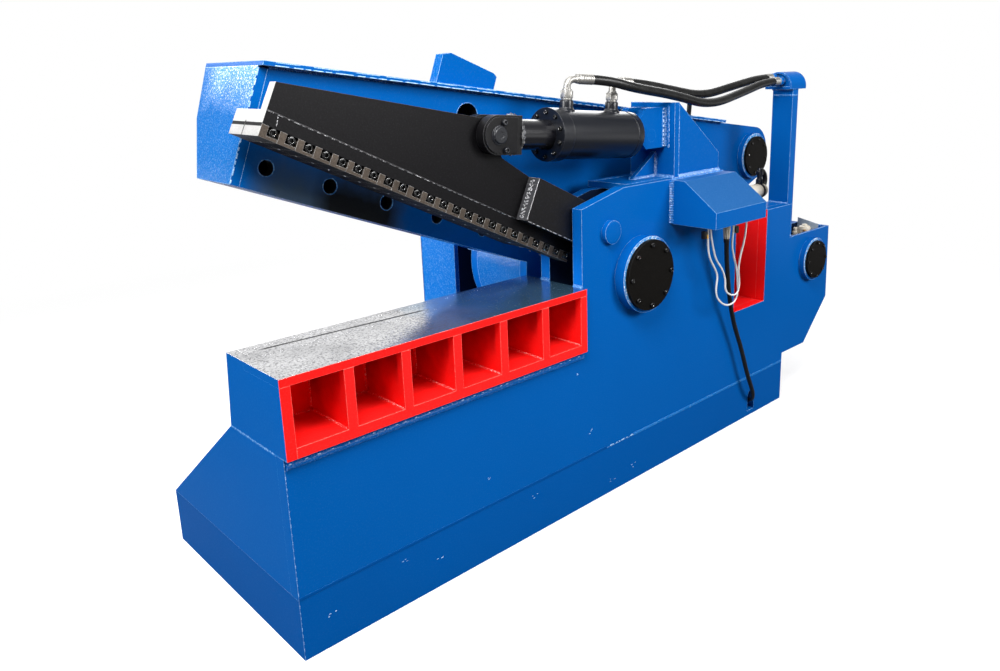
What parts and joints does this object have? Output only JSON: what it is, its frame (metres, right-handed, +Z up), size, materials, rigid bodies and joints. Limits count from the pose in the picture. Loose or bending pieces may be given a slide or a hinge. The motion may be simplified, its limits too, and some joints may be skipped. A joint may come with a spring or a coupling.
{
  "type": "alligator shear",
  "caption": "Alligator shear: a box-section jaw on a thick shaft closes on a cutting table beside a hold-down clamp with its own cylinder, all on a welded base.",
  "frame": {"origin": "middle of the base's underside, on the floor", "axes": "+X along the base from the table's end to the rear, +Y to the far side (the blade and chute side), +Z up"},
  "size_m": [3.091, 1.223, 1.7236],
  "materials": {
    "blue_paint": "glossy blue enamel with a light orange-peel texture",
    "red_paint": "glossy red enamel",
    "worn_steel": "bare steel, semi-gloss",
    "black_paint": "satin black enamel",
    "grip_steel": "bare ground steel, grey-brown",
    "black_screw": "blackened steel",
    "rod_chrome": "hard chrome",
    "bronze": "machined bronze",
    "zinc": "bright zinc plating",
    "hose_rubber": "matt black hose with a fine wrap",
    "cable_black": "matt black jacket",
    "wire_white": "white insulation",
    "terminal_grey": "grey moulded plastic"
  },
  "bodies": {
    "frame": {"base_skid": "blue_paint", "front_plate": "blue_paint", "chute_plate": "blue_paint", "near_side_plate": "blue_paint", "inner_side_plate": "blue_paint", "far_inner_plate": "blue_paint", "far_outer_plate": "blue_paint", "far_column_front": "blue_paint", "bay_roofs": "blue_paint", "table_top": "worn_steel", "table_ribs": "red_paint", "table_end_plate": "blue_paint", "table_jaw_bar": "red_paint", "lower_blade": "worn_steel", "main_shaft": "worn_steel", "pivot_rings": "blue_paint", "pivot_covers": "black_paint", "socket_screws": "black_screw", "trunnion_bushes": "bronze", "clamp_pin": "blue_paint", "ram_tail_pin": "worn_steel", "bracket_plate": "blue_paint", "bracket_stiffeners": "blue_paint", "cylinder_lugs": "blue_paint", "control_hood": "blue_paint", "terminal_block": "terminal_grey", "window_lining": "red_paint", "rear_column": "blue_paint", "rear_plates": "blue_paint", "post": "blue_paint", "hose_saddle": "blue_paint", "supply_cable": "cable_black", "wire_long": "wire_white", "wire_short": "wire_white", "hose_front": "hose_rubber", "hose_rear": "hose_rubber"},
    "jaw": {"jaw_near_plate": "blue_paint", "jaw_far_plate": "blue_paint", "jaw_front_plate": "blue_paint", "jaw_top_plate": "blue_paint", "jaw_bottom_plates": "blue_paint", "jaw_hub": "blue_paint", "jaw_bush": "bronze", "stop_plate": "blue_paint", "tail_pin": "worn_steel", "tail_rings": "blue_paint", "tail_covers": "black_paint"},
    "main_cylinder": {"main_barrel": "blue_paint"},
    "main_piston_rod": {"main_rod": "rod_chrome"},
    "clamp": {"clamp_web": "black_paint", "clamp_flange": "black_paint", "clamp_hub": "black_paint", "grip_blocks": "grip_steel", "grip_screws": "black_screw"},
    "clamp_cylinder": {"clamp_barrel": "black_paint", "clamp_gland": "black_paint", "port_fittings": "zinc"},
    "clamp_piston_rod": {"clamp_rod": "rod_chrome", "clamp_clevis": "black_paint", "clevis_pin": "rod_chrome"}
  },
  "joints": [
    {"name": "jaw_close", "type": "hinge", "parent": "frame", "child": "jaw", "pos_m": [0.2, 0.0335, 0.877], "axis": [0, -1, 0], "range_deg": [0, 20]},
    {"name": "main_cylinder_swing", "type": "hinge", "parent": "frame", "child": "main_cylinder", "pos_m": [1.562, 0.0335, 0.692], "axis": [0, -1, 0], "range_deg": [0, 7.5]},
    {"name": "main_rod_slide", "type": "slide", "parent": "main_cylinder", "child": "main_piston_rod", "axis": [-0.1414, 0, 0.99], "range_m": [0, 0.456]},
    {"name": "clamp_close", "type": "hinge", "parent": "frame", "child": "clamp", "pos_m": [0.02, -0.3555, 1.068], "axis": [0, -1, 0], "range_deg": [0, 26.5]},
    {"name": "clamp_cylinder_swing", "type": "hinge", "parent": "frame", "child": "clamp_cylinder", "pos_m": [0.35, -0.3405, 1.396], "axis": [0, -1, 0], "range_deg": [0, 16.2], "deforming": ["hose_front", "hose_rear"]},
    {"name": "clamp_rod_slide", "type": "slide", "parent": "clamp_cylinder", "child": "clamp_piston_rod", "axis": [-0.9973, 0, 0.0734], "range_m": [0, 0.1455]}
  ],
  "couplings": [
    {"joint": "main_cylinder_swing", "follows": "jaw_close", "ratio": 0.3682},
    {"joint": "main_rod_slide", "follows": "jaw_close", "m_per_rad": 1.3021},
    {"joint": "clamp_cylinder_swing", "follows": "clamp_close", "ratio": 0.6048},
    {"joint": "clamp_rod_slide", "follows": "clamp_close", "m_per_rad": 0.3122}
  ]
}
